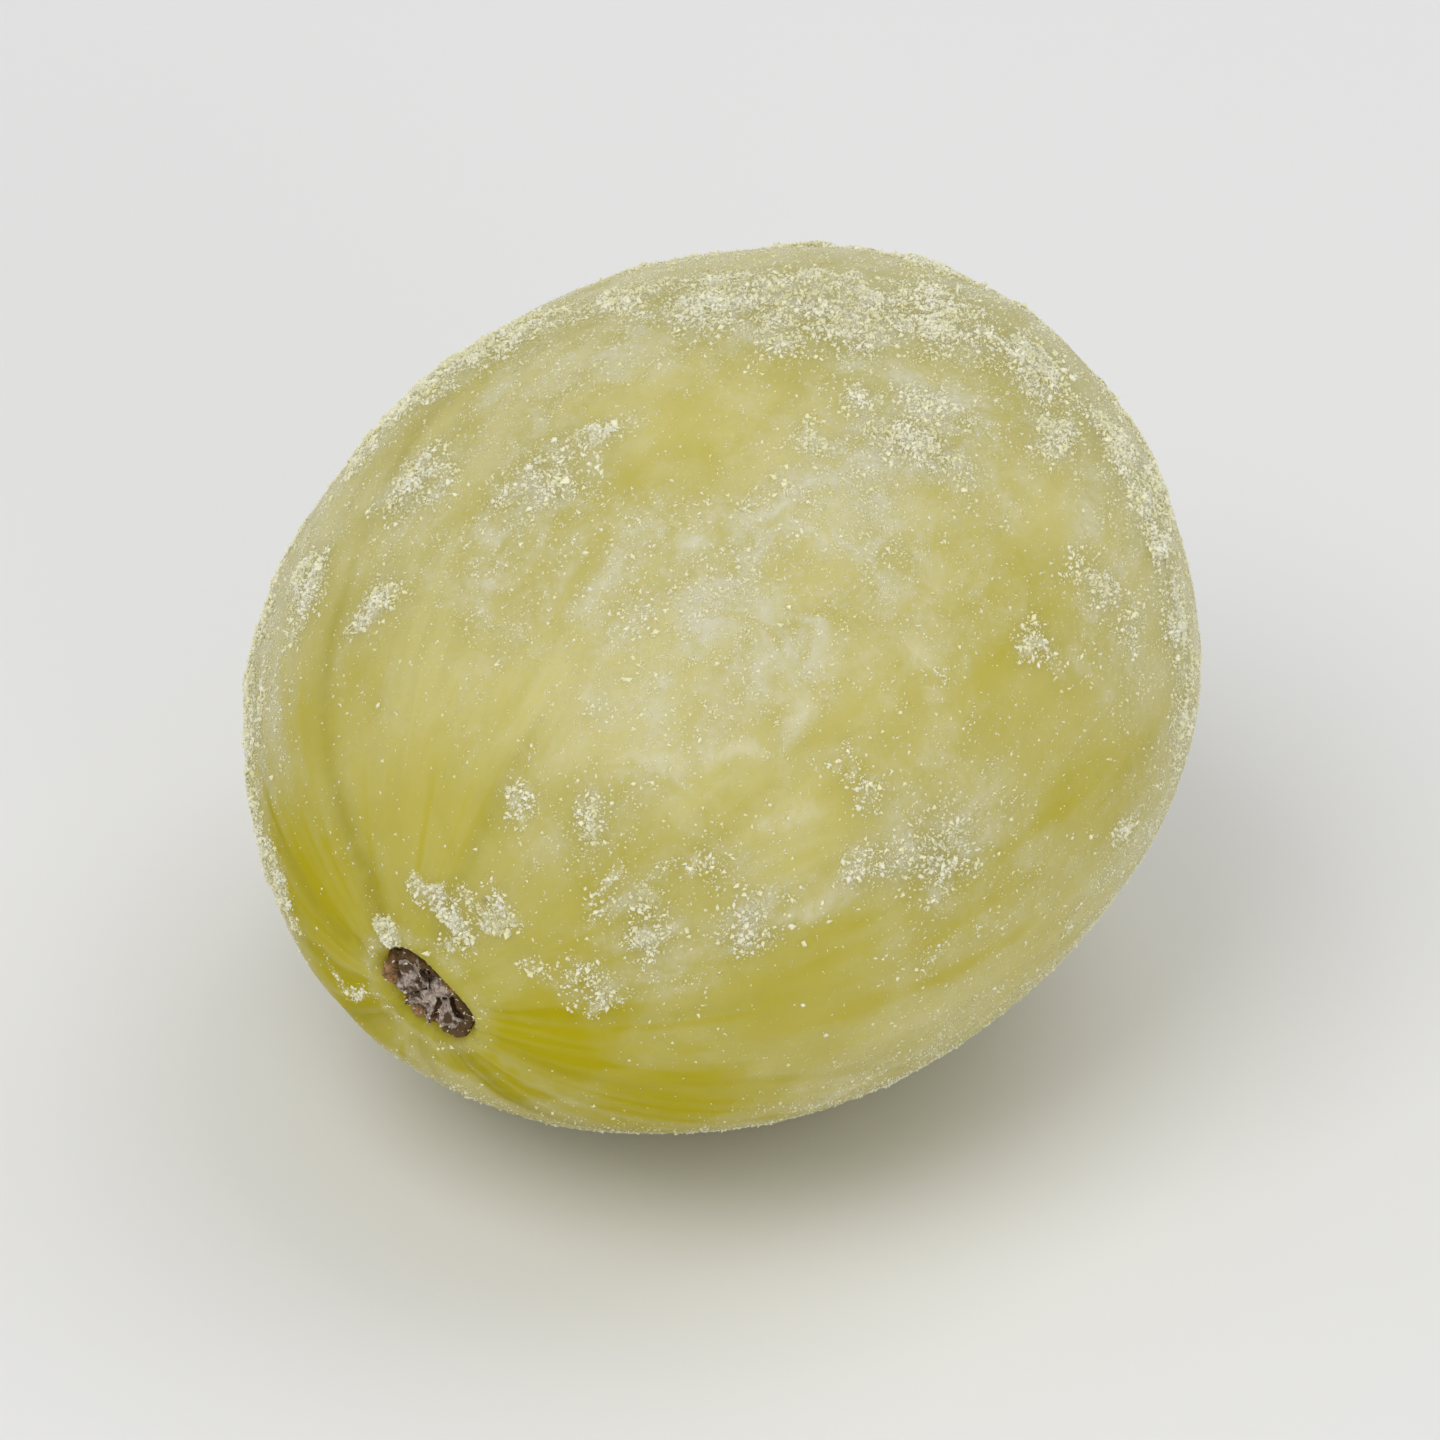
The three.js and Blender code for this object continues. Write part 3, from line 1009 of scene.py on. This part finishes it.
def cup_material():
    """Withered brown tissue: nearly black in places, rusty in others, with a few frost specks."""
    made, tree, shader = new_material("withered_cup", IOR=1.4)
    where = node(tree, "ShaderNodeTexCoord").outputs["Object"]
    fine = noise_of(tree, where, 0.12, 4.0, 0.7)
    broad = noise_of(tree, where, 0.9, 2.0)
    brown = mixed(tree, fine, CUP_BLACK, CUP_BROWN)
    rust = product(tree, between(tree, broad, 0.52, 0.66), between(tree, fine, 0.35, 0.6))
    brown = mixed(tree, rust, brown, CUP_RUST)
    speck = between(tree, noise_of(tree, where, 0.07, 1.0), 0.68, 0.74)
    finish = mixed(tree, speck, brown, FROST_SPECK)
    tree.links.new(finish, shader.inputs["Base Color"])
    tree.links.new(between(tree, fine, 0.3, 0.7, 0.6, 0.9), shader.inputs["Roughness"])
    add_bump(tree, shader, fine, 0.6, 0.03)
    return made


def sepal_material():
    """Papery grey-beige tissue with brown edges and stains."""
    made, tree, shader = new_material("dried_sepals", IOR=1.4)
    where = node(tree, "ShaderNodeTexCoord").outputs["Object"]
    fine = noise_of(tree, where, 0.1, 4.0, 0.7)
    broad = noise_of(tree, where, 0.3, 3.0)
    shade = between(tree, fine, 0.35, 0.65)
    paper = mixed(tree, shade, PAPER_DARK, PAPER_PALE)
    stain = between(tree, broad, 0.5, 0.6)
    paper = mixed(tree, stain, paper, PAPER_STAIN)
    tree.links.new(paper, shader.inputs["Base Color"])
    tree.links.new(between(tree, fine, 0.3, 0.7, 0.55, 0.9), shader.inputs["Roughness"])
    add_bump(tree, shader, fine, 0.6, 0.03)
    return made


def stalk_material():
    """Fibrous green-brown tissue, brown at the torn tip."""
    made, tree, shader = new_material("torn_stalk", IOR=1.4)
    where = node(tree, "ShaderNodeTexCoord").outputs["Object"]
    own = node(tree, "ShaderNodeAttribute", attribute_name="own").outputs["Vector"]
    stretched = node(tree, "ShaderNodeMapping", {"Vector": own, "Scale": (1.0, 0.16, 1.0)})
    fibre = node(
        tree, "ShaderNodeTexNoise", {"Vector": stretched.outputs[0], "Scale": 14.0, "Detail": 4.0}
    ).outputs["Fac"]
    mottle = node(
        tree, "ShaderNodeTexNoise", {"Vector": own, "Scale": 3.0, "Detail": 4.0}
    ).outputs["Fac"]
    fibre = between(tree, fibre, 0.34, 0.66)
    green = mixed(tree, fibre, STALK_DARK_GREEN, STALK_PALE_GREEN)
    brown = mixed(tree, fibre, STALK_DARK_BROWN, STALK_PALE_BROWN)
    reach = node(tree, "ShaderNodeSeparateXYZ", {"Vector": own}).outputs["Y"]
    torn = between(tree, maths(tree, "ADD", reach, mottle), -10.4, -10.8)
    finish = mixed(tree, torn, green, brown)
    speck = between(tree, noise_of(tree, where, 0.09, 1.0), 0.64, 0.7)
    finish = mixed(tree, speck, finish, FROST_SPECK)
    tree.links.new(finish, shader.inputs["Base Color"])
    tree.links.new(between(tree, fibre, 0.3, 0.7, 0.55, 0.85), shader.inputs["Roughness"])
    add_bump(tree, shader, fibre, 0.7, 0.04)
    return made


# Stage


def make_floor():
    half = FLOOR_HALF
    floor = mesh_object(
        "floor",
        [(-half, -half, 0), (half, -half, 0), (half, half, 0), (-half, half, 0)],
        [(0, 1, 2, 3)],
    )
    made, tree, shader = new_material("pale_floor", Roughness=0.6, Specular_IOR_Level=0.3)
    where = node(tree, "ShaderNodeTexCoord").outputs["Object"]
    tone = mixed(tree, noise_of(tree, where, 90.0, 2.0), FLOOR_SHADE, FLOOR_PALE)
    tree.links.new(tone, shader.inputs["Base Color"])
    floor.data.materials.append(made)


def make_light(name, azimuth, elevation, distance, size, power):
    """A square area light aimed at the fruit. Azimuth 0 is the camera's side, positive rightwards."""
    data = bpy.data.lights.new(name, "AREA")
    data.energy = power
    data.size = size * MM
    light = bpy.data.objects.new(name, data)
    level = math.cos(math.radians(elevation)) * distance
    light.location = Vector(
        (
            level * math.sin(math.radians(azimuth)),
            -level * math.cos(math.radians(azimuth)),
            distance * math.sin(math.radians(elevation)),
        )
    ) * MM
    aim = Vector((0, 0, FRUIT_DEPTH / 2 * MM)) - light.location
    light.rotation_euler = aim.to_track_quat("-Z", "Y").to_euler()
    bpy.context.scene.collection.objects.link(light)


def make_camera():
    data = bpy.data.cameras.new("camera")
    data.lens = LENS
    data.sensor_width = SENSOR_WIDTH
    camera = bpy.data.objects.new("camera", data)
    target = Vector(FRUIT_MIDDLE) * MM - Vector(UP) * (AIM_DROP * MM)
    camera.location = target + Vector(TOWARDS) * CAMERA_DISTANCE * MM
    camera.rotation_euler = (target - camera.location).to_track_quat("-Z", "Y").to_euler()
    bpy.context.scene.collection.objects.link(camera)
    bpy.context.scene.camera = camera


def make_world():
    world = bpy.data.worlds.new("studio")
    world.use_nodes = True
    background = world.node_tree.nodes["Background"]
    background.inputs["Color"].default_value = WHITE
    background.inputs["Strength"].default_value = WORLD_STRENGTH
    bpy.context.scene.world = world
    bpy.context.scene.view_settings.view_transform = "Standard"


make_camera()
make_world()
make_floor()
for light in LIGHTS:
    make_light(*light)

rng = np.random.default_rng(SEED)
skin, skin_places, marks = make_skin(rng)
ring, sepals, stalk = make_calyx_ring(), make_sepals(rng), make_stalk()

frost, haze_and_highlight = marks["frost"], marks["haze_and_highlight"]
laced = 0.2 + 0.8 * marks["lace"]
bare = 1 - 0.9 * marks["olive_and_shade"]
# How densely each sort of crystal lies on the skin.
crust_weight = frost**1.2
dust_weight = frost + 0.5 * laced * haze_and_highlight**1.5 + 0.008 * bare
powder_weight = frost**0.5 + laced * haze_and_highlight + 0.03 * bare
grain_weight = frost * laced + 0.012 * bare
crust_spots = spots_on(rng, skin_places, crust_weight, CRUST.count)
dust_spots = np.vstack(
    [
        spots_on(rng, skin_places, dust_weight, DUST.count),
        spots_beyond(rng, ring, CALYX_DUST_FROM, RING_DUST),
        spots_beyond(rng, sepals, CALYX_DUST_FROM, SEPAL_DUST),
        spots_beyond(rng, stalk, STALK_DUST_FROM, STALK_DUST),
    ]
)
powder_spots = spots_on(rng, skin_places, powder_weight, POWDER.count)
grain_spots = spots_on(rng, skin_places, grain_weight, GRAINS.count)
crust = make_crystals("frost_crust", rng, crust_spots, CRUST)
dust = [
    make_crystals("frost_dust_a", rng, dust_spots[::2], DUST),
    make_crystals("frost_dust_b", rng, dust_spots[1::2], DUST),
]
powder = make_crystals("frost_powder", rng, powder_spots, POWDER)
grains = make_crystals("frost_grains", rng, grain_spots, GRAINS)

skin.data.materials.append(skin_material())
ring.data.materials.append(cup_material())
sepals.data.materials.append(sepal_material())
stalk.data.materials.append(stalk_material())
ice = ice_material("ice_crystals", ICE_SHADED, ICE_LIT)
rime = ice_material("rime", RIME_SHADED, RIME_LIT)
finishes = ((crust, ice), (grains, ice), (dust[0], rime), (dust[1], rime), (powder, rime))
for piece, finish in finishes:
    piece.data.materials.append(finish)
for piece in (skin, ring, sepals, stalk, crust, *dust, powder, grains):
    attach(piece, "root")
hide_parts("berry")
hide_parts("calyx")
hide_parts("calyx")
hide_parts("stalk_stub")
